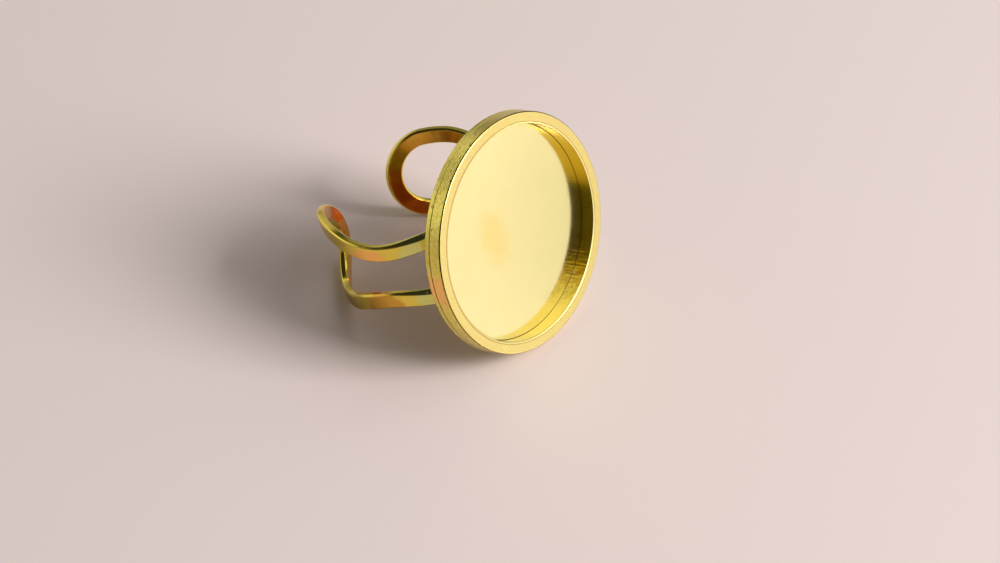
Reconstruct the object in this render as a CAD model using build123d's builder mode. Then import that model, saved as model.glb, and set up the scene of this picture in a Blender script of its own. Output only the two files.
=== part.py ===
"""Cabochon ring blank: a round tray soldered to an open, adjustable band of two strip loops.

Millimetres. The blank is drawn with the tray's axis along +Z, the finger's axis along +Y and the
near arm towards -X, and then laid down as it rests by itself: on the tray's back edge and the
lower sides of both loops. Laid down, the tray faces -Y and leans back, and +Z is up.
"""

import os
from math import asin, atan2, cos, degrees, hypot, pi, sin

from build123d import *

# Cup: a rim ring on a base disc, which leave a tray for a flat-backed cabochon
tray_radius = 10.05
tray_depth = 1.45
rim_wall = 1.15
floor_thickness = 0.4
rim_edge = 0.25
mouth_edge = 0.08
back_edge = 0.2

# Joint line round the cup, between the rim ring and the base disc
seam_height = 0.6
seam_width = 0.12
seam_depth = 0.06

# Band: a round finger space with a short flat under the tray
finger_radius = 8.0
flat_length = 1.6
strip_width = 1.6
strip_thickness = 0.75
strip_edge = 0.14

# Arms, measured along the band from its middle
leg_length = 19.5
loop_half_width = 3.9
near_end_length = 5.0
far_end_length = 3.8

# Pad in the middle of the band, and the solder that holds it to the cup
pad_half_length = 3.4
pad_margin = 0.12
solder_radius = 3.3
solder_depth = 0.4
solder_flare_angle = 25

# How the band sits on the cup: a little towards the near arm, a little high, and tipped
shank_shift = 1.35
shank_rise = 0.7
shank_tip_angle = 1.4

# Half the spacing of an arm's two legs: a row for each section, as shares of the leg's
# length and of the loop's half width
LEG_SECTIONS = [
    # along leg, half spacing
    (0.15, 0.80),
    (0.28, 0.77),
    (0.41, 0.72),
    (0.52, 0.66),
    (0.62, 0.66),
    (0.74, 0.77),
    (0.86, 0.94),
    (1.00, 1.00),
]
END_STEPS = 10

# Sizes that follow
cup_radius = tray_radius + rim_wall
cup_height = floor_thickness + tray_depth
flat_half = flat_length / 2
mean_radius = finger_radius + strip_thickness / 2
pad_thickness = strip_thickness + 2 * pad_margin
pad_half_width = LEG_SECTIONS[0][1] * loop_half_width + strip_width / 2 + pad_margin
shank_seat = Location((-shank_shift, shank_rise, 0), (shank_tip_angle, 0, 0))


def band_angle(run):
    """Angle, in radians, that the band has turned through at a distance from its middle."""
    return max(run - flat_half, 0) / mean_radius


def band_point(side, run, height):
    """Point on the band's middle surface, in the band's own frame."""
    turn = band_angle(run)
    across = min(run, flat_half) + mean_radius * sin(turn)
    return Vector(side * across, height, mean_radius * (cos(turn) - 1) - strip_thickness / 2)


def band_direction(side, run, along, up):
    """Direction in the band's surface, from its parts along the band and up the finger."""
    turn = band_angle(run)
    return Vector(side * along * cos(turn), up, -along * sin(turn)).normalized()


def loop_route(end_length):
    """Middle line of one arm's strip, out along the upper leg and back along the lower one."""
    upper = [(share * leg_length, half * loop_half_width) for share, half in LEG_SECTIONS]
    turned = [pi * step / END_STEPS for step in range(1, END_STEPS)]
    end = [(leg_length + end_length * sin(a), loop_half_width * cos(a)) for a in turned]
    lower = [(run, -height) for run, height in reversed(upper)]
    return upper + end + lower


def loop_stations(end_length):
    """Each point of the route with the unit step along the strip there."""
    route = loop_route(end_length)
    before = [route[0]] + route[:-1]
    after = route[1:] + [route[-1]]
    stations = []
    for (run, height), (run_0, height_0), (run_1, height_1) in zip(route, before, after):
        step = hypot(run_1 - run_0, height_1 - height_0)
        stations.append((run, height, (run_1 - run_0) / step, (height_1 - height_0) / step))
    return stations


def arm(side, end_length):
    """One arm: a flat strip that runs out, turns back round its loop end and returns."""
    with BuildPart() as strip:
        for run, height, along, up in loop_stations(end_length):
            section = Plane(
                origin=band_point(side, run, height),
                x_dir=band_direction(side, run, -up, along),
                z_dir=band_direction(side, run, along, up),
            )
            with BuildSketch(section):
                RectangleRounded(strip_width, strip_thickness, strip_edge)
        loft()
    return strip.part


def resting_lean():
    """Angle that the tray leans back when its back edge and both arms touch the floor."""
    face_corner = strip_thickness / 2 - strip_edge
    side_corner = strip_width / 2 - strip_edge
    leans = []
    for side, end_length in ((-1, near_end_length), (1, far_end_length)):
        for run, height, along, up in loop_stations(end_length):
            turn = band_angle(run)
            outward = Vector(side * sin(turn), 0, cos(turn)) * face_corner
            sideways = band_direction(side, run, -up, along) * side_corner
            corner = band_point(side, run, height) + outward + sideways
            seated = Plane(shank_seat).from_local_coords(corner)
            rise = seated.Y + cup_radius - back_edge
            reach = back_edge - seated.Z
            if along < 0 and reach > 0:
                tangent = asin((back_edge - strip_edge) / hypot(rise, reach))
                leans.append(degrees(atan2(rise, reach) + tangent))
    return min(leans)


with BuildPart() as cup:
    with BuildSketch(Plane.XY):
        Circle(cup_radius)
    extrude(amount=cup_height)
    with BuildSketch(Plane.XY.offset(floor_thickness)):
        Circle(tray_radius)
    extrude(amount=tray_depth, mode=Mode.SUBTRACT)
    rims = cup.edges().filter_by(GeomType.CIRCLE).group_by(Axis.Z)[-1].sort_by(SortBy.RADIUS)
    fillet(rims[-1], radius=rim_edge)
    rims = cup.edges().filter_by(GeomType.CIRCLE).group_by(Axis.Z)[-1].sort_by(SortBy.RADIUS)
    chamfer(rims[0], length=mouth_edge)
    fillet(cup.edges().group_by(Axis.Z)[0], radius=back_edge)
    with BuildSketch(Plane.XZ):
        with BuildLine():
            Polyline(
                (cup_radius - seam_depth, seam_height),
                (cup_radius + seam_depth, seam_height - seam_width),
                (cup_radius + seam_depth, seam_height + seam_width),
                close=True,
            )
        make_face()
    revolve(axis=Axis.Z, mode=Mode.SUBTRACT)

with BuildPart() as pad:
    with BuildSketch(Plane.XZ.offset(-pad_half_width)):
        with Locations((0, -strip_thickness / 2 - mean_radius)):
            SlotCenterToCenter(flat_length, 2 * mean_radius + pad_thickness)
            SlotCenterToCenter(flat_length, 2 * mean_radius - pad_thickness, mode=Mode.SUBTRACT)
            Rectangle(
                2 * pad_half_length,
                2 * mean_radius,
                align=(Align.CENTER, Align.MIN),
                mode=Mode.INTERSECT,
            )
    extrude(amount=2 * pad_half_width)

with BuildPart() as shank:
    add(pad.part)
    add(arm(-1, near_end_length))
    add(arm(1, far_end_length))

with BuildPart() as solder_bed:
    with BuildSketch(Plane.XY.offset(-solder_depth)):
        with Locations((-shank_shift, shank_rise)):
            Circle(solder_radius)
    extrude(amount=solder_depth, taper=-solder_flare_angle)

with BuildPart() as blank:
    add(cup.part)
    add(solder_bed.part)
    with Locations(shank_seat):
        add(shank.part)

with BuildPart() as laid:
    add(blank.part, rotation=(90 - resting_lean(), 0, 0))

footprint = laid.part.bounding_box()
with BuildPart() as ring_blank:
    with Locations((-footprint.center().X, -footprint.center().Y, -footprint.min.Z)):
        add(laid.part)

ring_blank.part.label = "ring_blank"

os.makedirs("parts", exist_ok=True)
export_step(ring_blank.part, "parts/ring_blank.step")
print(f"lean {resting_lean():.2f} degrees, volume {ring_blank.part.volume:.1f} mm3")
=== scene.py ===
"""Dresses a cabochon ring blank: a thick-walled round tray on an open band of two looped strips.

The cup's parts are modelled lying flat, with the tray's axis up, and the band's strips are
modelled flat and then bent round the finger, as a maker would. That bench work is in millimetres.
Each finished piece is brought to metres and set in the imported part's frame, where the ring lies on
its back edge and both loops with the tray facing -Y.
"""

import logging
import math
from collections.abc import Callable
from dataclasses import dataclass
from enum import Enum

import bmesh
import bpy
from mathutils import Matrix, Vector


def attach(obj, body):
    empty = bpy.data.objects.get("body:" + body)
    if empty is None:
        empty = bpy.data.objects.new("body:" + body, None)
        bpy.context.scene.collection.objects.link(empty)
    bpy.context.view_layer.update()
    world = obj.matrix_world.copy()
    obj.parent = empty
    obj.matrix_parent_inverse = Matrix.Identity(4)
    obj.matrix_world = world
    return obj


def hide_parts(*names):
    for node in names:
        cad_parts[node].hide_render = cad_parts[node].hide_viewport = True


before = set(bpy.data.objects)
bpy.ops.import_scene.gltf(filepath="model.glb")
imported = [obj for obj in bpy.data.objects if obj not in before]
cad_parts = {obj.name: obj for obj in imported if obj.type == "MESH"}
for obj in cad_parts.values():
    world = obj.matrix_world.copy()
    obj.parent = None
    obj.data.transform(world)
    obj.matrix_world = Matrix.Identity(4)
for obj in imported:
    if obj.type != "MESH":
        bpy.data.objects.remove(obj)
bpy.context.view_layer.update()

log = logging.getLogger("ring_blank")

Pair = tuple[float, float]
Triple = tuple[float, float, float]
Socket = bpy.types.NodeSocket

NODE = "ring_blank"
BODY = "root"
MILLIMETRE = 0.001

# Bench work, in millimetres and radians
ROUND_STEPS = 320
NEAR = 0.01
MERGE_DISTANCE = 0.0005
SMOOTH_ANGLE = math.radians(32)
LONG_EDGE_ANGLE = math.radians(40)
SOFT_EDGE_ANGLE = math.radians(35)
PAD_EDGE_ANGLE = math.radians(50)
UPRIGHT = (math.pi / 2, 0, 0)

# Which way a face looks: how much of its normal points up the tray's axis or at the finger
SIDE_FACING = 0.3
FLAT_FACING = 0.95
SLANT_FACING = (0.8, 0.985)
BACK_FACING = -0.6
FINGER_FACING = 0.8

# Middle of the finger in the cup's frame, and how far out the tray's wall stands
FINGER_AXIS = (-1.35, 0.0, -8.75)
WALL_REACH = 10.0


class Grain(Enum):
    """How the metal was last worked, which is the way that its fine marks run."""

    TURNED = "round the tray's axis"
    PRESSED = "up the tray's wall"
    DRAWN = "along the strip"
    BUFFED = "no one way"


@dataclass(frozen=True)
class RestSeat:
    """Where the cup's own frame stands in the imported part's frame."""

    lean: float = 26.534
    back_centre: Triple = (0.0, -5.1317, 9.9619)

    @property
    def turn(self) -> float:
        """Angle about X, in radians, from the cup lying flat to the ring at rest."""
        return math.radians(90 - self.lean)

    @property
    def place(self) -> Vector:
        """Middle of the base disc's back, in metres."""
        return Vector(self.back_centre) * MILLIMETRE

    def matrix(self) -> Matrix:
        """Bench millimetres in the cup's frame to metres in the part's frame."""
        turned = Matrix.Translation(self.place) @ Matrix.Rotation(self.turn, 4, "X")
        return turned @ Matrix.Scale(MILLIMETRE, 4)


SEAT = RestSeat()


class Workpiece:
    """One mesh on the bench, shaped in edit mode and then finished."""

    def __init__(self, name: str) -> None:
        """Takes the primitive that was just added and leaves it in edit mode, all deselected.

        Args:
            name: the piece's name.
        """
        self.settle()
        self.obj: bpy.types.Object = bpy.context.object
        self.obj.name = self.obj.data.name = name
        self.edit()

    @staticmethod
    def clear() -> None:
        """Deselects every object, so that a new primitive stands alone."""
        bpy.ops.object.select_all(action="DESELECT")

    @staticmethod
    def settle() -> None:
        """Puts the place, turn and size of the selected object into its mesh."""
        bpy.ops.object.transform_apply(location=True, rotation=True, scale=True)

    @staticmethod
    def pull(step: Vector | Triple) -> None:
        """Extrudes what is selected by a step."""
        bpy.ops.mesh.extrude_region_move(TRANSFORM_OT_translate={"value": step})

    def edit(self) -> None:
        """Goes to edit mode with nothing selected."""
        bpy.ops.object.mode_set(mode="EDIT")
        bpy.ops.mesh.select_mode(type="VERT")
        bpy.ops.mesh.select_all(action="DESELECT")

    def pick(self, mode: str, test: Callable[[Vector], bool]) -> int:
        """Selects only the elements whose every corner passes a test.

        Args:
            mode: VERT, EDGE or FACE.
            test: says whether a corner at that place counts.

        Returns:
            How many elements were selected.
        """
        bpy.ops.mesh.select_mode(type=mode)
        bpy.ops.mesh.select_all(action="DESELECT")
        mesh = bmesh.from_edit_mesh(self.obj.data)
        chosen = {"VERT": mesh.verts, "EDGE": mesh.edges, "FACE": mesh.faces}[mode]
        count = 0
        for element in chosen:
            corners = [element] if mode == "VERT" else element.verts
            if all(test(corner.co) for corner in corners):
                element.select_set(True)
                count += 1
        mesh.select_flush_mode()
        bmesh.update_edit_mesh(self.obj.data)
        return count

    def break_edge(self, test: Callable[[Vector], bool], width: float, steps: int = 1) -> None:
        """Bevels the edges whose both corners pass a test.

        Args:
            test: says whether a corner at that place counts.
            width: the bevel's width.
            steps: how many faces round it off.
        """
        found = self.pick("EDGE", test)
        log.info("%s: an edge of %d spans is broken by %.3f", self.obj.name, found, width)
        bpy.ops.mesh.bevel(offset=width, segments=steps, affect="EDGES")

    def close_up(self) -> None:
        """Merges doubles and turns all faces outwards, and goes to object mode."""
        self.edit()
        bpy.ops.mesh.select_all(action="SELECT")
        bpy.ops.mesh.remove_doubles(threshold=MERGE_DISTANCE)
        bpy.ops.mesh.normals_make_consistent(inside=False)
        bpy.ops.object.mode_set(mode="OBJECT")

    def modify(self, kind: str, **settings: object) -> None:
        """Adds a modifier, sets it and applies it.

        Args:
            kind: the modifier's type.
            settings: its settings by name.
        """
        modifier = self.obj.modifiers.new(kind.lower(), kind)
        for key, value in settings.items():
            setattr(modifier, key, value)
        bpy.ops.object.modifier_apply(modifier=modifier.name)

    def seat(self, place: Matrix) -> bpy.types.Object:
        """Smooths the piece, sets it in the part's frame, parents it to the body's empty and hides
        the imported part.

        Args:
            place: from bench millimetres to metres in the part's frame.

        Returns:
            The finished object, standing at the origin.
        """
        bpy.ops.object.shade_smooth_by_angle(angle=SMOOTH_ANGLE)
        self.modify("WEIGHTED_NORMAL", mode="FACE_AREA", weight=100, keep_sharp=True)
        self.obj.matrix_world = place
        self.settle()
        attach(self.obj, BODY)
        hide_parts(NODE)
        return self.obj


@dataclass(frozen=True)
class Cloud:
    """Cloudy noise: cycles to the unit, finer layers and how far it is warped."""

    scale: float
    detail: float
    warp: float = 0.0


# The noise behind each kind of mark, and the span of its values that is read
GRAIN_CLOUD = Cloud(1.0, 4.0)
GRAIN_SPAN = (0.46, 0.64)
SMUDGE_CLOUD = Cloud(0.34, 3.0, 0.6)
SMUDGE_SPAN = (0.42, 0.72)
PATCH_CLOUD = Cloud(0.8, 3.0, 0.4)
RIPPLE_DETAIL = 2.0
HAIRLINE_CLOUD = Cloud(1.0, 0.0)
HAIRLINE_SPAN = (0.78, 0.84)
HAIRLINE_STRETCH = (0.35, 7.0, 1.0)
HAIRLINE_SLANTS = (25.0, -50.0, 80.0)


class NodeBench:
    """Places and joins the nodes of one material or world."""

    def __init__(self, tree: bpy.types.NodeTree) -> None:
        """Takes a node tree and empties it."""
        self.tree = tree
        tree.nodes.clear()

    def add(self, kind: str, **settings: object) -> bpy.types.Node:
        """Adds a node and sets its properties.

        Args:
            kind: the node's type name.
            settings: its properties by name.

        Returns:
            The new node.
        """
        node = self.tree.nodes.new(kind)
        for key, value in settings.items():
            setattr(node, key, value)
        return node

    def join(self, source: Socket, target: Socket) -> None:
        """Links one socket to another."""
        self.tree.links.new(source, target)

    def math(self, operation: str, *values: Socket | float) -> Socket:
        """Works one sum, from sockets and plain numbers.

        Args:
            operation: the Math node's operation.
            values: its inputs in order.

        Returns:
            The result's socket.
        """
        node = self.add("ShaderNodeMath", operation=operation)
        for socket, value in zip(node.inputs, values):
            if isinstance(value, Socket):
                self.join(value, socket)
            else:
                socket.default_value = value
        return node.outputs[0]

    def noise(self, place: Socket, cloud: Cloud) -> Socket:
        """Reads cloudy noise at a place.

        Args:
            place: where it is read.
            cloud: the noise.

        Returns:
            The noise's value, from 0 to 1.
        """
        node = self.add("ShaderNodeTexNoise")
        self.join(place, node.inputs["Vector"])
        node.inputs["Scale"].default_value = cloud.scale
        node.inputs["Detail"].default_value = cloud.detail
        node.inputs["Distortion"].default_value = cloud.warp
        return node.outputs["Fac"]

    def stretch(self, value: Socket, span: Pair, to: Pair = (0.0, 1.0)) -> Socket:
        """Maps one span of a value to another, clamped.

        Args:
            value: what is mapped.
            span: the two values that become the new ends.
            to: the new ends.

        Returns:
            The mapped value's socket.
        """
        node = self.add("ShaderNodeMapRange", clamp=True)
        self.join(value, node.inputs["Value"])
        names = ("From Min", "From Max", "To Min", "To Max")
        for name, number in zip(names, (*span, *to)):
            node.inputs[name].default_value = number
        return node.outputs["Result"]

    def mix(self, under: Socket | Triple, over: Triple, share: Socket) -> Socket:
        """Lays one colour over another.

        Args:
            under: the colour below, from a socket or plain.
            over: the colour laid on it.
            share: how much of it shows, from 0 to 1.

        Returns:
            The mixed colour's socket.
        """
        node = self.add("ShaderNodeMix", data_type="RGBA")
        below, above = (socket for socket in node.inputs if socket.type == "RGBA")
        if isinstance(under, Socket):
            self.join(under, below)
        else:
            below.default_value = (*under, 1)
        above.default_value = (*over, 1)
        self.join(share, node.inputs["Factor"])
        return next(socket for socket in node.outputs if socket.type == "RGBA")

    def shift(self, place: Socket, operation: str, by: Triple) -> Socket:
        """Changes a place by three plain numbers.

        Args:
            place: the place.
            operation: SUBTRACT or MULTIPLY.
            by: the number for each axis.

        Returns:
            The changed place's socket.
        """
        node = self.add("ShaderNodeVectorMath", operation=operation)
        self.join(place, node.inputs[0])
        node.inputs[1].default_value = by
        return node.outputs["Vector"]

    def measures(self, place: Socket) -> list[Socket]:
        """Splits a place into its three measures.

        Args:
            place: the place.

        Returns:
            The sockets of its X, Y and Z.
        """
        node = self.add("ShaderNodeSeparateXYZ")
        self.join(place, node.inputs["Vector"])
        return list(node.outputs)

    def combined(self, *parts: tuple[Socket, float]) -> Socket:
        """Puts three measures together as a place.

        Args:
            parts: each measure with the factor that it is multiplied by.

        Returns:
            The place's socket.
        """
        node = self.add("ShaderNodeCombineXYZ")
        for (part, factor), socket in zip(parts, node.inputs):
            self.join(self.math("MULTIPLY", part, factor), socket)
        return node.outputs["Vector"]

    def reach(self, one: Socket, other: Socket) -> Socket:
        """Distance from an axis, from the two offsets square to it."""
        squares = self.math("MULTIPLY_ADD", one, one, self.math("MULTIPLY", other, other))
        return self.math("SQRT", squares)


@dataclass(frozen=True)
class Patch:
    """A place on the metal with a soft and ragged edge."""

    centre: Triple
    size: Triple
    strength: float = 1.0
    fade: Pair = (0.5, 1.1)
    ragged: float = 0.8

    def amount(self, bench: NodeBench, place: Socket) -> Socket:
        """How strong the patch is at a place, from 0 outside it.

        Args:
            bench: the material's nodes.
            place: place in the cup's frame, in millimetres.

        Returns:
            The strength's socket.
        """
        offset = bench.shift(place, "SUBTRACT", self.centre)
        shrunk = bench.shift(offset, "MULTIPLY", tuple(1 / size for size in self.size))
        length = bench.add("ShaderNodeVectorMath", operation="LENGTH")
        bench.join(shrunk, length.inputs[0])
        cloud = bench.noise(place, PATCH_CLOUD)
        ragged = bench.math("MULTIPLY_ADD", cloud, self.ragged, -self.ragged / 2)
        distance = bench.math("ADD", length.outputs["Value"], ragged)
        return bench.stretch(distance, self.fade, (self.strength, 0.0))


@dataclass(frozen=True, kw_only=True)
class PaintedLightPatch(Patch):
    """A patch of painted light: a tint laid on the metal that stands in for a coloured reflection of
    the room, and for shade at the joint.
    """

    tint: Triple


@dataclass(frozen=True)
class GoldFinish:
    """Yellow gold plating with the marks of one way of working it, and patches of painted light laid
    on its colour.

    Fineness is in marks to the millimetre, heights are in millimetres and a pit's size is a share
    of the pits' spacing. With a worn place, the grain shows by the plain share elsewhere.
    """

    name: str
    grain: Grain
    colour: Triple
    warm_colour: Triple
    roughness: float
    grain_fineness: float = 6.0
    grain_run: float = 0.5
    grain_tint: float = 0.0
    grain_roughness: float = 0.06
    grain_height: float = 0.0
    ripple_fineness: float = 0.9
    ripple_height: float = 0.0
    smudge_roughness: float = 0.05
    smudge_tint: float = 0.3
    scratch_height: float = 0.0
    scratch_roughness: float = 0.0
    pit_fineness: float = 1.0
    pit_size: float = 0.12
    pit_height: float = 0.0
    # patches of painted reflection and painted shade, laid over the plating's colour
    painted_light: tuple[PaintedLightPatch, ...] = ()
    worn_place: Patch | None = None
    plain_share: float = 0.15

    def material(self) -> bpy.types.Material:
        """Builds the material's nodes.

        Returns:
            The material.
        """
        material = bpy.data.materials.new(self.name)
        material.use_nodes = True
        bench = NodeBench(material.node_tree)
        surface = bench.add("ShaderNodeBsdfPrincipled")
        output = bench.add("ShaderNodeOutputMaterial")
        bench.join(surface.outputs["BSDF"], output.inputs["Surface"])
        surface.inputs["Metallic"].default_value = 1.0
        place = self._place(bench)
        grain = bench.noise(self._marks(bench, place), GRAIN_CLOUD)
        smudge = bench.stretch(bench.noise(place, SMUDGE_CLOUD), SMUDGE_SPAN)
        worn: Socket | float = 1.0
        if self.worn_place:
            worn = bench.math("MAXIMUM", self.worn_place.amount(bench, place), self.plain_share)
        colour = self._colour(bench, place, smudge, grain, worn)
        rough = bench.math("MULTIPLY_ADD", grain, self.grain_roughness, self.roughness)
        rough = bench.math("MULTIPLY_ADD", smudge, self.smudge_roughness, rough)
        height = bench.math("MULTIPLY", bench.math("MULTIPLY", grain, self.grain_height), worn)
        ripple = bench.noise(place, Cloud(self.ripple_fineness, RIPPLE_DETAIL))
        height = bench.math("MULTIPLY_ADD", ripple, self.ripple_height, height)
        if self.scratch_height:
            scratch = self._scratches(bench, place)
            rough = bench.math("MULTIPLY_ADD", scratch, self.scratch_roughness, rough)
            height = bench.math("MULTIPLY_ADD", scratch, -self.scratch_height, height)
        if self.pit_height:
            pit = self._pits(bench, place)
            height = bench.math("MULTIPLY_ADD", pit, -self.pit_height, height)
        bump = bench.add("ShaderNodeBump")
        bump.inputs["Distance"].default_value = MILLIMETRE
        bench.join(height, bump.inputs["Height"])
        bench.join(colour, surface.inputs["Base Color"])
        bench.join(rough, surface.inputs["Roughness"])
        bench.join(bump.outputs["Normal"], surface.inputs["Normal"])
        return material

    def _place(self, bench: NodeBench) -> Socket:
        """Reads the place on the metal.

        Args:
            bench: the material's nodes.

        Returns:
            The place in the cup's frame, in millimetres.
        """
        source = bench.add("ShaderNodeTexCoord")
        mapping = bench.add("ShaderNodeMapping", vector_type="TEXTURE")
        mapping.inputs["Location"].default_value = SEAT.place
        mapping.inputs["Rotation"].default_value = (SEAT.turn, 0, 0)
        mapping.inputs["Scale"].default_value = (MILLIMETRE,) * 3
        bench.join(source.outputs["Object"], mapping.inputs["Vector"])
        return mapping.outputs["Vector"]

    def _colour(
        self, bench: NodeBench, place: Socket, smudge: Socket, grain: Socket, worn: Socket | float
    ) -> Socket:
        """Mixes the two golds by the smudges and grain, and lays the patches of painted reflection
        and shade on.

        Args:
            bench: the material's nodes.
            place: place in the cup's frame, in millimetres.
            smudge: how smudged the metal is, from 0 to 1.
            grain: the grain's noise.
            worn: how strongly the grain shows, from 0 to 1.

        Returns:
            The colour's socket.
        """
        warmth = bench.math("MULTIPLY", smudge, self.smudge_tint)
        lined = bench.stretch(grain, GRAIN_SPAN, (0.0, self.grain_tint))
        lined = bench.math("MULTIPLY", lined, worn)
        shade = bench.mix(self.colour, self.warm_colour, bench.math("MAXIMUM", warmth, lined))
        for painted_patch in self.painted_light:
            shade = bench.mix(shade, painted_patch.tint, painted_patch.amount(bench, place))
        return shade

    def _marks(self, bench: NodeBench, place: Socket) -> Socket:
        """Stretches a place so that noise on it runs the way of the grain.

        Args:
            bench: the material's nodes.
            place: place in the cup's frame, in millimetres.

        Returns:
            The stretched place's socket.
        """
        fine, run = self.grain_fineness, self.grain_run
        if self.grain is Grain.BUFFED:
            return bench.shift(place, "MULTIPLY", (fine, fine, fine))
        if self.grain is Grain.DRAWN:
            strip = bench.add("ShaderNodeUVMap", uv_map="strip")
            along, beside, _ = bench.measures(strip.outputs["UV"])
            across, _, height = bench.measures(bench.shift(place, "SUBTRACT", FINGER_AXIS))
            out = bench.reach(across, height)
            return bench.combined((along, run), (beside, fine), (out, fine))
        across, up, height = bench.measures(place)
        around = bench.math("MULTIPLY", bench.math("ARCTAN2", up, across), WALL_REACH)
        reach = bench.reach(across, up)
        if self.grain is Grain.PRESSED:
            return bench.combined((around, fine), (reach, fine), (height, run))
        return bench.combined((around, run), (reach, fine), (height, fine))

    @staticmethod
    def _scratches(bench: NodeBench, place: Socket) -> Socket:
        """Draws sparse straight hairlines that cross at a slant.

        Args:
            bench: the material's nodes.
            place: place in the cup's frame, in millimetres.

        Returns:
            A value that is 1 on a line and 0 off it.
        """
        lines = []
        for slant in HAIRLINE_SLANTS:
            turned = bench.add("ShaderNodeVectorRotate", rotation_type="Z_AXIS")
            bench.join(place, turned.inputs["Vector"])
            turned.inputs["Angle"].default_value = math.radians(slant)
            drawn = bench.shift(turned.outputs["Vector"], "MULTIPLY", HAIRLINE_STRETCH)
            lines.append(bench.stretch(bench.noise(drawn, HAIRLINE_CLOUD), HAIRLINE_SPAN))
        return bench.math("MAXIMUM", lines[0], bench.math("MAXIMUM", lines[1], lines[2]))

    def _pits(self, bench: NodeBench, place: Socket) -> Socket:
        """Scatters small nicks.

        Args:
            bench: the material's nodes.
            place: place in the cup's frame, in millimetres.

        Returns:
            A value that is 1 in the middle of a nick and 0 off it.
        """
        cells = bench.add("ShaderNodeTexVoronoi", voronoi_dimensions="3D", feature="F1")
        cells.inputs["Scale"].default_value = self.pit_fineness
        bench.join(place, cells.inputs["Vector"])
        return bench.stretch(cells.outputs["Distance"], (0.0, self.pit_size), (1.0, 0.0))


@dataclass(frozen=True)
class LineFinish:
    """Plain metal of one colour on a thin edge or groove; the dark ones are painted shade and
    painted reflection.
    """

    name: str
    colour: Triple
    roughness: float

    def material(self) -> bpy.types.Material:
        """Builds the material's nodes.

        Returns:
            The material.
        """
        material = bpy.data.materials.new(self.name)
        material.use_nodes = True
        surface = material.node_tree.nodes["Principled BSDF"]
        surface.inputs["Base Color"].default_value = (*self.colour, 1)
        surface.inputs["Metallic"].default_value = 1.0
        surface.inputs["Roughness"].default_value = self.roughness
        return material


Finish = GoldFinish | LineFinish

# Painted light in the base colours: one plating takes a paler gold on the tray's floor and face,
# which mirror bright light, and a deeper gold on the wall, the rim's outside and the strips,
# standing in for bright reflections whitening and dim ones deepening.
FLOOR_GOLD = GoldFinish(
    "gold_tray_floor",
    Grain.BUFFED,
    colour=(0.955, 0.88, 0.425),
    warm_colour=(0.965, 0.85, 0.37),
    roughness=0.12,
    grain_fineness=4.0,
    grain_roughness=0.03,
    ripple_fineness=0.12,
    ripple_height=0.03,
    smudge_roughness=0.04,
    smudge_tint=0.4,
    scratch_height=0.0012,
    scratch_roughness=0.05,
    pit_fineness=0.8,
    pit_size=0.08,
    pit_height=0.010,
    # Painted reflection: a darker patch over one side of the floor, where its mirrored light is
    # painted dimmer, and a small warmer spot near the middle.
    painted_light=(
        PaintedLightPatch((8.0, -3.0, 0.4), (10.0, 12.0, 3.0), 0.9, (0.3, 1.2), tint=(0.865, 0.80, 0.375)),
        PaintedLightPatch((-2.2, 0.7, 0.4), (2.0, 3.2, 2.0), 0.9, tint=(0.95, 0.79, 0.30)),
    ),
)
FACE_GOLD = GoldFinish(
    "gold_rim_face",
    Grain.TURNED,
    colour=(0.87, 0.72, 0.26),
    warm_colour=(0.80, 0.65, 0.18),
    roughness=0.18,
    grain_fineness=7.0,
    grain_run=1.2,
    grain_tint=0.5,
    grain_roughness=0.12,
    grain_height=0.0012,
    pit_fineness=1.6,
    pit_height=0.004,
)
WALL_GOLD = GoldFinish(
    "gold_tray_wall",
    Grain.PRESSED,
    colour=(0.96, 0.72, 0.05),
    warm_colour=(0.72, 0.36, 0.012),
    roughness=0.08,
    grain_fineness=5.0,
    grain_run=0.6,
    grain_tint=1.0,
    grain_roughness=0.10,
    grain_height=0.045,
    ripple_fineness=1.2,
    ripple_height=0.001,
    pit_fineness=1.8,
    pit_height=0.005,
    # Painted reflection: a paler yellow patch low on one side of the wall, where its mirrored light
    # is painted brighter.
    painted_light=(PaintedLightPatch((-1.0, -10.0, 1.0), (8.0, 3.4, 3.0), 0.95, tint=(0.98, 0.77, 0.24)),),
    worn_place=Patch((6.5, -7.7, 1.2), (4.5, 4.5, 4.0)),
)
BRUSHED_GOLD = GoldFinish(
    "gold_brushed_edge",
    Grain.TURNED,
    colour=(0.86, 0.71, 0.15),
    warm_colour=(0.62, 0.48, 0.08),
    roughness=0.13,
    grain_fineness=8.0,
    grain_run=4.5,
    grain_tint=0.9,
    grain_roughness=0.22,
    grain_height=0.018,
    ripple_height=0.010,
    pit_fineness=1.2,
    pit_size=0.20,
    pit_height=0.06,
    # Painted reflection: an orange patch on the rim's outside, standing in for a warm reflection.
    painted_light=(PaintedLightPatch((-11.2, 0.9, 1.0), (1.5, 1.7, 1.6), tint=(0.98, 0.56, 0.16)),),
)
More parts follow.
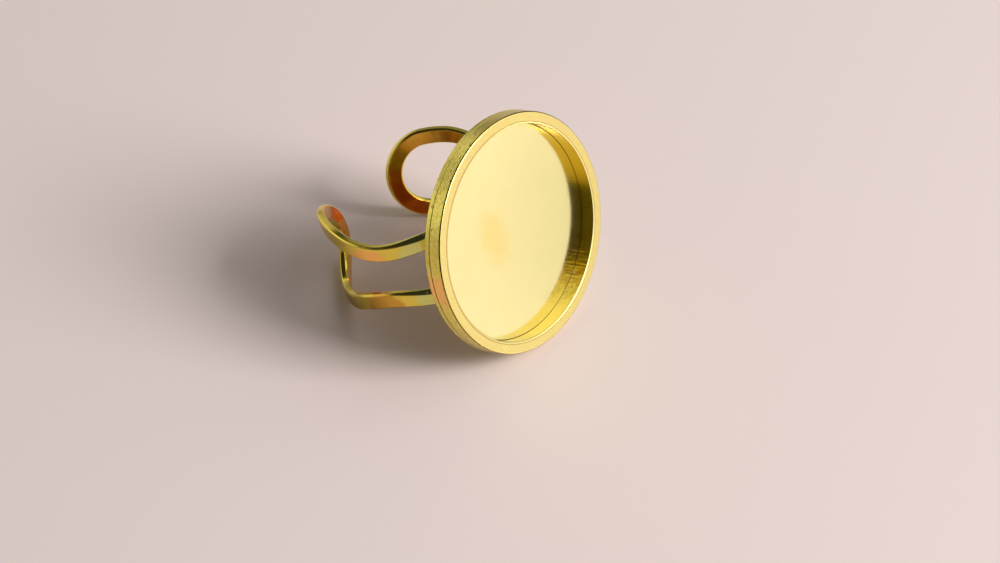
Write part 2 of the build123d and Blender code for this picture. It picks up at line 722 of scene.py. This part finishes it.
STRIP_GOLD = GoldFinish(
    "gold_strip",
    Grain.DRAWN,
    colour=(0.84, 0.66, 0.10),
    warm_colour=(0.72, 0.48, 0.06),
    roughness=0.09,
    grain_tint=0.25,
    grain_roughness=0.08,
    grain_height=0.0015,
    ripple_height=0.012,
    smudge_tint=0.4,
    pit_fineness=1.3,
    pit_height=0.015,
    # Painted reflection and painted shade: a pale olive patch by the cup, orange and brown patches
    # on the near arm's legs, and a darker patch further out.
    painted_light=(
        PaintedLightPatch((-7.0, 0.6, -2.1), (3.7, 6.0, 4.0), 1.0, (0.9, 1.05), 0.3, tint=(0.72, 0.70, 0.20)),
        PaintedLightPatch((-10.3, 2.8, -7.4), (1.7, 1.4, 2.1), 0.95, (0.85, 1.0), 0.5, tint=(0.95, 0.48, 0.12)),
        PaintedLightPatch((-10.2, -2.2, -7.4), (1.7, 1.7, 2.4), 0.95, (0.8, 1.0), 0.5, tint=(0.64, 0.34, 0.05)),
        PaintedLightPatch((-9.4, -3.2, -12.2), (2.4, 2.0, 2.6), 0.9, tint=(0.60, 0.44, 0.07)),
    ),
)
# Painted shade and painted reflection: the strip's faces towards the finger take a deeper orange
# than its other faces, with red, olive and orange-red patches on the loops.
INSIDE_PAINTED_SHADE = GoldFinish(
    "gold_strip_inside_painted_shade",
    Grain.DRAWN,
    colour=(0.80, 0.50, 0.07),
    warm_colour=(0.66, 0.30, 0.03),
    roughness=0.09,
    grain_tint=0.3,
    grain_roughness=0.08,
    grain_height=0.0015,
    ripple_height=0.012,
    smudge_tint=0.8,
    pit_fineness=1.3,
    pit_height=0.015,
    painted_light=(
        PaintedLightPatch((3.6, -1.0, -15.8), (3.0, 4.4, 2.8), 0.95, tint=(0.64, 0.15, 0.014)),
        PaintedLightPatch((4.1, 3.6, -15.6), (1.4, 1.3, 1.4), 0.9, tint=(0.74, 0.56, 0.07)),
        PaintedLightPatch((-5.8, 2.8, -16.2), (3.2, 3.2, 2.6), 0.9, (0.6, 1.1), 0.5, tint=(0.58, 0.22, 0.035)),
    ),
)
SOLDER_GOLD = GoldFinish(
    "gold_over_solder",
    Grain.BUFFED,
    colour=(0.93, 0.72, 0.20),
    warm_colour=(0.93, 0.66, 0.20),
    roughness=0.22,
    grain_roughness=0.15,
    grain_height=0.004,
    ripple_height=0.03,
)
JOINT_GOLD_AND_SHADE = GoldFinish(
    "gold_joint_line_and_shade",
    Grain.BUFFED,
    colour=(0.70, 0.57, 0.13),
    warm_colour=(0.55, 0.42, 0.08),
    roughness=0.30,
    grain_roughness=0.10,
    # Painted shade: the joint is darkened on the side of the rim that lies in shade.
    painted_light=(
        PaintedLightPatch((-11.0, -0.8, 0.6), (3.0, 4.6, 2.0), 1.0, (0.6, 1.2), 1.2, tint=(0.14, 0.10, 0.02)),
        PaintedLightPatch((-8.4, -7.4, 0.6), (2.6, 2.6, 2.0), 0.9, (0.6, 1.2), 1.2, tint=(0.16, 0.11, 0.02)),
    ),
)
# Painted shade: a dark line in the groove where the tray's floor meets its wall.
CORNER_SHADE = LineFinish("gold_tray_corner_shade", (0.24, 0.16, 0.035), 0.30)
# Painted reflection: a dark line on the slope of the rim's outer edge, standing in for a dark
# reflection.
OUTER_EDGE_DARK_REFLECTION = LineFinish("gold_outer_edge_dark_reflection", (0.26, 0.19, 0.04), 0.12)
# Painted reflection: a thin brown line at the mouth, standing in for the reflection of shaded floor.
MOUTH_DARK_REFLECTION = LineFinish("gold_mouth_dark_reflection", (0.42, 0.27, 0.05), 0.30)
MOUTH_GOLD = LineFinish("gold_mouth_edge", (0.93, 0.78, 0.30), 0.22)


def dress(obj: bpy.types.Object, choose: Callable[[Vector, Vector], Finish]) -> None:
    """Gives each face of a finished piece its finish.

    Args:
        obj: the piece, in the part's frame.
        choose: from a face's middle and normal, in cup millimetres, which finish it takes.
    """
    obj.data.materials.clear()
    back = SEAT.matrix().inverted()
    turn = back.to_3x3().normalized()
    slots: dict[str, int] = {}
    for face in obj.data.polygons:
        finish = choose(back @ face.center, turn @ face.normal)
        if finish.name not in slots:
            slots[finish.name] = len(slots)
            material = bpy.data.materials.get(finish.name) or finish.material()
            obj.data.materials.append(material)
        face.material_index = slots[finish.name]


@dataclass
class Cup:
    """The tray: a thick plain rim soldered on a base disc with a shallow recess."""

    tray_radius: float = 10.05
    rim_wall: float = 1.15
    floor_height: float = 0.4
    joint_height: float = 0.6
    height: float = 1.85
    rim_edge: float = 0.15
    rim_edge_steps: int = 8
    back_edge: float = 0.15
    back_edge_steps: int = 5
    joint_edge: float = 0.05
    mouth_width: float = 0.22
    mouth_drop: float = 0.055
    mouth_line: float = 0.028
    corner_groove: float = 0.028

    @property
    def radius(self) -> float:
        """Outside radius of the rim and the disc."""
        return self.tray_radius + self.rim_wall

    @staticmethod
    def _edge_at(radius: float, height: float) -> Callable[[Vector], bool]:
        """Test for a corner on the circle of that radius and height."""
        return lambda p: abs(math.hypot(p.x, p.y) - radius) < NEAR and abs(p.z - height) < NEAR

    def build_rim(self) -> bpy.types.Object:
        """Spins the rim's section round the tray's axis and breaks its edges.

        Returns:
            The rim ring.
        """
        wall_height = self.height - self.joint_height
        middle = (self.tray_radius + self.rim_wall / 2, 0, self.joint_height + wall_height / 2)
        Workpiece.clear()
        bpy.ops.mesh.primitive_plane_add(size=1, location=middle, rotation=UPRIGHT)
        bpy.ops.transform.resize(value=(self.rim_wall, 1, wall_height), center_override=middle)
        piece = Workpiece("rim_ring")
        bpy.ops.mesh.select_all(action="SELECT")
        bpy.ops.mesh.delete(type="ONLY_FACE")
        bpy.ops.mesh.select_all(action="SELECT")
        bpy.ops.mesh.spin(
            steps=ROUND_STEPS, angle=math.tau, center=(0, 0, 0), axis=(0, 0, 1), use_auto_merge=True
        )
        piece.close_up()
        piece.edit()
        outer_edge = self._edge_at(self.radius, self.height)
        piece.break_edge(outer_edge, self.rim_edge, self.rim_edge_steps)
        piece.break_edge(self._edge_at(self.radius, self.joint_height), self.joint_edge)
        self._slant_mouth(piece)
        piece.close_up()
        rim = piece.seat(SEAT.matrix())
        dress(rim, self._rim_finish)
        return rim

    def _slant_mouth(self, piece: Workpiece) -> None:
        """Cuts the mouth's edge at a low slant and breaks the two corners of the cut.

        Args:
            piece: the rim, in edit mode.
        """
        width, drop = self.mouth_width, self.mouth_drop
        piece.break_edge(self._edge_at(self.tray_radius, self.height), width)
        piece.pick("VERT", self._edge_at(self.tray_radius, self.height - width))
        bpy.ops.transform.translate(value=(0, 0, width - drop))
        piece.break_edge(self._edge_at(self.tray_radius + width, self.height), self.mouth_line)
        piece.break_edge(self._edge_at(self.tray_radius, self.height - drop), self.mouth_line)

    def _rim_finish(self, middle: Vector, normal: Vector) -> Finish:
        """Brushed outside, fine face, polished inside, a plain gold slant at the mouth, painted dark
        reflections on the outer edge and the mouth's line, and a dull joint with painted shade.

        Args:
            middle: a face's middle, in cup millimetres.
            normal: its normal in the cup's frame.

        Returns:
            The face's finish.
        """
        if math.hypot(middle.x, middle.y) < self.tray_radius + self.mouth_width + self.mouth_line:
            if normal.z < SIDE_FACING:
                return WALL_GOLD
            steep, flat = SLANT_FACING
            return MOUTH_GOLD if steep < normal.z < flat else MOUTH_DARK_REFLECTION
        if normal.z < -SIDE_FACING:
            return JOINT_GOLD_AND_SHADE
        if normal.z > FLAT_FACING:
            return FACE_GOLD
        return OUTER_EDGE_DARK_REFLECTION if normal.z > SIDE_FACING else BRUSHED_GOLD

    def build_disc(self) -> bpy.types.Object:
        """Sinks the tray's floor into a disc, grooves its corner and rounds its back edge.

        Returns:
            The base disc.
        """
        Workpiece.clear()
        bpy.ops.mesh.primitive_cylinder_add(
            vertices=ROUND_STEPS, radius=self.radius, depth=self.joint_height,
            end_fill_type="NGON", location=(0, 0, self.joint_height / 2),
        )
        piece = Workpiece("base_disc")
        piece.pick("FACE", lambda p: p.z > self.joint_height - NEAR)
        bpy.ops.mesh.inset(thickness=self.rim_wall, use_even_offset=True)
        piece.pull((0, 0, self.floor_height - self.joint_height))
        groove = self.corner_groove
        for width, rise in ((groove, -groove), (groove / 2, groove), (self.tray_radius / 2, 0.0)):
            bpy.ops.mesh.inset(thickness=width, depth=rise, use_even_offset=True)
        piece.break_edge(self._edge_at(self.radius, 0.0), self.back_edge, self.back_edge_steps)
        piece.break_edge(self._edge_at(self.radius, self.joint_height), self.joint_edge)
        piece.close_up()
        disc = piece.seat(SEAT.matrix())
        dress(disc, self._disc_finish)
        return disc

    def _disc_finish(self, middle: Vector, normal: Vector) -> Finish:
        """Polished floor and recess wall, brushed edge, fine back, a dull joint with painted shade,
        and painted shade in the floor's corner groove.

        Args:
            middle: a face's middle, in cup millimetres.
            normal: its normal in the cup's frame.

        Returns:
            The face's finish.
        """
        reach = math.hypot(middle.x, middle.y)
        in_tray = reach < self.tray_radius
        groove_height = self.floor_height - self.corner_groove / 2
        # painted shade in the floor's corner groove
        if in_tray and abs(middle.z - groove_height) < NEAR:
            return CORNER_SHADE
        if normal.z > SIDE_FACING and reach > self.tray_radius + self.rim_wall / 2:
            return JOINT_GOLD_AND_SHADE
        if normal.z > FLAT_FACING and in_tray:
            return FLOOR_GOLD
        if reach < self.tray_radius + NEAR and abs(normal.z) < SIDE_FACING:
            return WALL_GOLD
        return FACE_GOLD if normal.z < BACK_FACING else BRUSHED_GOLD


@dataclass(frozen=True)
class Strip:
    """Flat wire that the arms are bent from, and the round that they are bent to."""

    width: float = 1.6
    thickness: float = 0.75
    edge: float = 0.16
    worn_edge: float = 0.45
    soft_edge: float = 0.05
    finger_radius: float = 8.0
    flat_length: float = 1.6
    shift: float = 1.35
    rise: float = 0.7
    tip: float = 1.4

    @property
    def mean_radius(self) -> float:
        """Radius of the bent strip's middle surface."""
        return self.finger_radius + self.thickness / 2

    def seat(self, turned: bool) -> Matrix:
        """From the strip's bench frame to the part's frame.

        Args:
            turned: true for the arm that runs towards -X.

        Returns:
            The matrix. On the bench X runs along the band, Y points to the finger and Z is up it.
        """
        on_cup = Matrix.Translation((-self.shift, self.rise, 0))
        tipped = Matrix.Rotation(math.radians(self.tip), 4, "X")
        to_middle = Matrix.Translation((0, 0, -self.thickness / 2))
        stood_up = Matrix.Rotation(-math.pi / 2, 4, "X")
        half_turn = Matrix.Rotation(math.pi if turned else 0, 4, "Y")
        return SEAT.matrix() @ (on_cup @ tipped) @ (to_middle @ stood_up) @ half_turn

    def finish(self, middle: Vector, normal: Vector) -> Finish:
        """Tells a face towards the finger, which takes the inside's painted shade, from the others.

        Args:
            middle: the face's middle, in cup millimetres.
            normal: its normal in the cup's frame.

        Returns:
            The face's finish.
        """
        to_axis = Vector(FINGER_AXIS) - middle
        to_axis.y = 0
        # faces towards the finger take the inside's painted shade and painted reflection
        return INSIDE_PAINTED_SHADE if normal.dot(to_axis.normalized()) > FINGER_FACING else STRIP_GOLD

    def bend(self, piece: Workpiece) -> None:
        """Bends a flat piece round the finger, from where the flat under the tray ends.

        Args:
            piece: the piece, whose X is counted from there.
        """
        reach = [corner.co.x for corner in piece.obj.data.vertices]
        low, high = max(min(reach), 0.0), max(reach)
        piece.modify(
            "SIMPLE_DEFORM", deform_method="BEND", deform_axis="Z",
            angle=(high - low) / self.mean_radius,
            limits=((low - min(reach)) / (high - min(reach)), 1.0),
        )
        piece.edit()
        bpy.ops.mesh.select_all(action="SELECT")
        bpy.ops.transform.translate(value=(self.flat_length / 2, 0, 0))
        bpy.ops.object.mode_set(mode="OBJECT")


@dataclass
class Arm:
    """One arm of the band: a strip that runs out, turns back round its loop end and returns."""

    name: str
    end_length: float
    turned: bool
    strip: Strip = Strip()
    leg_length: float = 19.5
    loop_half_width: float = 3.9
    leg_sections: tuple[Pair, ...] = (
        # along the leg, half the legs' spacing
        (0.15, 0.80),
        (0.28, 0.77),
        (0.41, 0.72),
        (0.52, 0.66),
        (0.62, 0.66),
        (0.74, 0.77),
        (0.86, 0.94),
        (1.00, 1.00),
    )
    end_steps: int = 10
    smoothing: int = 6
    worn_reach: Pair = (5.7, 10.0)

    def route(self) -> list[Vector]:
        """Middle line of the strip, out along the upper leg and back along the lower one.

        Returns:
            The line's points on the bench, with X counted from the end of the flat.
        """
        start = self.strip.flat_length / 2
        upper = [
            (share * self.leg_length, half * self.loop_half_width)
            for share, half in self.leg_sections
        ]
        turns = [math.pi * step / self.end_steps for step in range(1, self.end_steps)]
        end = [
            (self.leg_length + self.end_length * math.sin(a), self.loop_half_width * math.cos(a))
            for a in turns
        ]
        lower = [(run, -height) for run, height in reversed(upper)]
        return [Vector((run - start, 0, height)) for run, height in upper + end + lower]

    def smooth_route(self) -> list[Vector]:
        """Draws a smooth line through the route.

        Returns:
            Close points on the line.
        """
        route = self.route()
        ends = [2 * route[0] - route[1], *route, 2 * route[-1] - route[-2]]
        points = []
        for a, b, c, d in zip(ends, ends[1:], ends[2:], ends[3:]):
            for step in range(self.smoothing):
                t = step / self.smoothing
                slope = (c - a) * t
                bow = (2 * a - 5 * b + 4 * c - d) * t**2
                twist = (3 * b - a - 3 * c + d) * t**3
                points.append(b + (slope + bow + twist) / 2)
        return [*points, route[-1]]

    def build(self) -> bpy.types.Object:
        """Draws the strip, gives it thickness, wears its edges and bends it.

        Returns:
            The arm.
        """
        points = self.smooth_route()
        piece = self._draw(points)
        self._map(piece, points)
        piece.close_up()
        piece.modify("SOLIDIFY", thickness=self.strip.thickness, offset=0.0, use_even_offset=True)
        self._mark_edges(piece, points)
        piece.modify("BEVEL", width=self.strip.worn_edge, segments=1, limit_method="WEIGHT")
        piece.close_up()
        piece.modify(
            "BEVEL", width=self.strip.soft_edge, segments=2,
            limit_method="ANGLE", angle_limit=SOFT_EDGE_ANGLE,
        )
        piece.close_up()
        self.strip.bend(piece)
        arm = piece.seat(self.strip.seat(self.turned))
        dress(arm, self.strip.finish)
        return arm

    def _draw(self, points: list[Vector]) -> Workpiece:
        """Extrudes a line as wide as the strip along the route.

        Args:
            points: the smooth route.

        Returns:
            The flat strip without thickness, in edit mode.
        """
        Workpiece.clear()
        bpy.ops.mesh.primitive_plane_add(
            size=self.strip.width, location=points[0], rotation=UPRIGHT
        )
        piece = Workpiece(self.name)
        start = points[0].x
        piece.pick("VERT", lambda p: p.x < start)
        bpy.ops.mesh.delete(type="VERT")
        bpy.ops.mesh.select_all(action="SELECT")
        bpy.ops.transform.translate(value=(-self.strip.width / 2, 0, 0))
        before = 0.0
        for i, (here, there) in enumerate(zip(points, points[1:])):
            piece.pull(there - here)
            after = points[min(i + 2, len(points) - 1)]
            heading = math.atan2(after.z - here.z, after.x - here.x)
            turn = (heading - before + math.pi) % math.tau - math.pi
            bpy.ops.transform.rotate(value=turn, orient_axis="Y", center_override=there)
            before = heading
        return piece

    def _mark_edges(self, piece: Workpiece, points: list[Vector]) -> None:
        """Says how worn each long edge is: more on both legs' upper outside edges by the pad.

        Args:
            piece: the flat strip with its thickness.
            points: the smooth route.
        """
        up = -1 if self.turned else 1
        near, far = self.worn_reach
        piece.edit()
        mesh = bmesh.from_edit_mesh(piece.obj.data)
        layer = mesh.edges.layers.float.new("bevel_weight_edge")
        plain = self.strip.edge / self.strip.worn_edge
        for edge in mesh.edges:
            # Only the strip's two ends have corners where three edges meet
            across_end = all(len(corner.link_edges) == 3 for corner in edge.verts)
            if across_end or edge.calc_face_angle(0.0) < LONG_EDGE_ANGLE:
                continue
            edge[layer] = plain
            middle = (edge.verts[0].co + edge.verts[1].co) / 2
            flat = Vector((middle.x, 0, middle.z))
            beside = min(points, key=lambda point: (point - flat).length)
            if middle.y < 0 and up * (middle.z - beside.z) > 0:
                share = min(max((far - middle.x) / (far - near), 0), 1)
                edge[layer] = plain + (1 - plain) * share * share * (3 - 2 * share)
        bmesh.update_edit_mesh(piece.obj.data)
        bpy.ops.object.mode_set(mode="OBJECT")

    def _map(self, piece: Workpiece, points: list[Vector]) -> None:
        """Lays a map on the strip: length along it and place across it, in millimetres.

        Args:
            piece: the flat strip, in edit mode.
            points: the smooth route.
        """
        runs = [0.0]
        for here, there in zip(points, points[1:]):
            runs.append(runs[-1] + (there - here).length)
        mesh = bmesh.from_edit_mesh(piece.obj.data)
        layer = mesh.loops.layers.uv.new("strip")
        half = self.strip.width / 2
        for face in mesh.faces:
            for loop in face.loops:
                offsets = [loop.vert.co - point for point in points]
                i = min(range(len(points)), key=lambda station: offsets[station].length)
                heading = points[min(i + 1, len(points) - 1)] - points[max(i - 1, 0)]
                side = heading.z * offsets[i].x - heading.x * offsets[i].z
                loop[layer].uv = (runs[i], math.copysign(half, side))
        bmesh.update_edit_mesh(piece.obj.data)


@dataclass
class Pad:
    """Plate in the middle of the band that joins both arms, and the solder that holds it."""

    strip: Strip = Strip()
    half_length: float = 3.4
    half_width: float = 4.04
    margin: float = 0.12
    edge: float = 0.15
    edge_steps: int = 3
    spans: int = 14
    solder_steps: int = 96
    solder_sink: float = 0.1
    solder_flare: tuple[Pair, ...] = (
        # height, radius
        (-0.4, 3.30),
        (-0.28, 3.31),
        (-0.16, 3.35),
        (-0.07, 3.41),
        (0.0, 3.52),
    )

    def build_plate(self) -> bpy.types.Object:
        """Bends one half of the plate to the band's round and mirrors it.

        Returns:
            The pad.
        """
        flat = self.strip.flat_length / 2
        mean_radius = self.strip.mean_radius
        bent = mean_radius * math.asin((self.half_length - flat) / mean_radius)
        size = (flat, self.strip.thickness + 2 * self.margin, 2 * self.half_width)
        Workpiece.clear()
        bpy.ops.mesh.primitive_cube_add(size=1, location=(-flat / 2, 0, 0), scale=size)
        piece = Workpiece("band_pad")
        piece.pick("FACE", lambda p: p.x > -NEAR)
        for _ in range(self.spans):
            piece.pull((bent / self.spans, 0, 0))
        piece.pick("FACE", lambda p: p.x < NEAR - flat)
        bpy.ops.mesh.delete(type="FACE")
        piece.close_up()
        self.strip.bend(piece)
        piece.modify("MIRROR", use_axis=(True, False, False), use_clip=True)
        piece.modify(
            "BEVEL", width=self.edge, segments=self.edge_steps,
            limit_method="ANGLE", angle_limit=PAD_EDGE_ANGLE,
        )
        plate = piece.seat(self.strip.seat(False))
        dress(plate, lambda middle, normal: SOLDER_GOLD)
        return plate

    def build_solder(self) -> bpy.types.Object:
        """Draws the solder up from the pad to the disc in a hollow flare.

        Returns:
            The solder bed.
        """
        flare = self.solder_flare
        low, start = flare[0]
        Workpiece.clear()
        bpy.ops.mesh.primitive_circle_add(
            vertices=self.solder_steps, radius=start, fill_type="NGON", location=(0, 0, low)
        )
        piece = Workpiece("solder_bed")
        bpy.ops.mesh.select_all(action="SELECT")
        for (height, radius), (to_height, to_radius) in zip(flare, flare[1:]):
            piece.pull((0, 0, to_height - height))
            grow = to_radius / radius
            bpy.ops.transform.resize(value=(grow, grow, 1), center_override=(0, 0, to_height))
        piece.pull((0, 0, self.solder_sink))
        piece.close_up()
        offset = Matrix.Translation((-self.strip.shift, self.strip.rise, 0))
        bed = piece.seat(SEAT.matrix() @ offset)
        dress(bed, lambda middle, normal: SOLDER_GOLD)
        return bed


@dataclass(frozen=True)
class RoomPatch:
    """A soft round patch of the room, with angles from its middle in degrees."""

    toward: Triple
    level: float
    full_angle: float
    faded_angle: float

    @property
    def span(self) -> Pair:
        """Cosines of the angles at which the patch has faded out and at which it is full."""
        return math.cos(math.radians(self.faded_angle)), math.cos(math.radians(self.full_angle))


@dataclass
class Studio:
    """Plain pale floor, soft light and the camera of the photograph.

    The camera's place is in millimetres, and all else is in metres.
    """

    camera_place: Triple = (-171.96, -114.19, 219.87)
    camera_right: Triple = (0.59698, -0.79915, 0.07057)
    camera_up: Triple = (0.55652, 0.47587, 0.68105)
    camera_clip: Pair = (0.01, 10.0)
    lens: float = 114.75
    sensor_width: float = 36.0
    floor_size: float = 3.0
    floor_colour: Triple = (0.88, 0.74, 0.70)
    floor_roughness: float = 0.25
    window_place: Triple = (0.23, -0.53, 0.39)
    window_size: float = 0.30
    window_power: float = 4.5
    room_colour: Triple = (1.0, 0.99, 0.97)
    room_level: float = 0.26
    room_patches: tuple[RoomPatch, ...] = (
        # pale low in front, high in front and behind, then dark overhead and to the left
        RoomPatch((0.57, -0.81, 0.12), 0.92, 18.0, 45.0),
        RoomPatch((0.35, -0.42, 0.84), 1.02, 32.0, 46.0),
        RoomPatch((-0.15, 0.93, 0.30), 0.95, 27.0, 47.0),
        RoomPatch((-0.08, 0.46, 0.88), 0.03, 36.0, 43.0),
        RoomPatch((-0.70, -0.62, 0.36), 0.055, 37.0, 50.0),
    )

    def build(self) -> None:
        """Adds the floor, the window, the room's light and the camera."""
        self._floor()
        self._window()
        self._room()
        self._camera()
        bpy.context.scene.view_settings.view_transform = "Standard"

    def _floor(self) -> None:
        """Lays the wide plain floor that the ring lies on."""
        Workpiece.clear()
        bpy.ops.mesh.primitive_plane_add(size=self.floor_size, location=(0, 0, 0))
        floor = bpy.context.object
        floor.name = "floor"
        material = bpy.data.materials.new("pale_floor")
        material.use_nodes = True
        surface = material.node_tree.nodes["Principled BSDF"]
        surface.inputs["Base Color"].default_value = (*self.floor_colour, 1)
        surface.inputs["Roughness"].default_value = self.floor_roughness
        floor.data.materials.append(material)

    def _window(self) -> None:
        """Hangs a large soft light to the front and right."""
        place = Vector(self.window_place)
        facing = (-place).to_track_quat("-Z", "Y").to_euler()
        bpy.ops.object.light_add(type="AREA", location=place, rotation=facing)
        light = bpy.context.object
        light.name = "window"
        light.data.shape = "SQUARE"
        light.data.size = self.window_size
        light.data.energy = self.window_power

    def _room(self) -> None:
        """Lights the room dimly, with its pale and dark patches."""
        world = bpy.data.worlds.new("room")
        bpy.context.scene.world = world
        world.use_nodes = True
        bench = NodeBench(world.node_tree)
        source = bench.add("ShaderNodeTexCoord")
        strength: Socket | float = self.room_level
        for patch in self.room_patches:
            lobe = bench.add("ShaderNodeVectorMath", operation="DOT_PRODUCT")
            bench.join(source.outputs["Generated"], lobe.inputs[0])
            lobe.inputs[1].default_value = Vector(patch.toward).normalized()
            share = bench.stretch(lobe.outputs["Value"], patch.span)
            change = bench.math("SUBTRACT", patch.level, strength)
            strength = bench.math("MULTIPLY_ADD", change, share, strength)
        background = bench.add("ShaderNodeBackground")
        background.inputs["Color"].default_value = (*self.room_colour, 1)
        bench.join(strength, background.inputs["Strength"])
        output = bench.add("ShaderNodeOutputWorld")
        bench.join(background.outputs["Background"], output.inputs["Surface"])

    def _camera(self) -> None:
        """Sets up the photograph's camera, fitted to the rim's and the loops' outlines."""
        right, up = Vector(self.camera_right).normalized(), Vector(self.camera_up).normalized()
        axes = Matrix((right, up, right.cross(up))).transposed().to_4x4()
        bpy.ops.object.camera_add()
        camera = bpy.context.object
        camera.matrix_world = Matrix.Translation(Vector(self.camera_place) * MILLIMETRE) @ axes
        camera.data.lens = self.lens
        camera.data.sensor_width = self.sensor_width
        camera.data.clip_start, camera.data.clip_end = self.camera_clip
        bpy.context.scene.camera = camera


def main() -> None:
    """Builds the ring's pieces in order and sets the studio."""
    logging.basicConfig(level=logging.INFO, format="%(name)s: %(message)s")
    cup = Cup()
    pieces = [cup.build_disc(), cup.build_rim()]
    pieces.append(Arm("near_arm", end_length=5.0, turned=True).build())
    pieces.append(Arm("far_arm", end_length=3.8, turned=False).build())
    pad = Pad()
    pieces += [pad.build_plate(), pad.build_solder()]
    for piece in pieces:
        log.info("%s: %d faces", piece.name, len(piece.data.polygons))
    Studio().build()


if __name__ == "__main__":
    main()
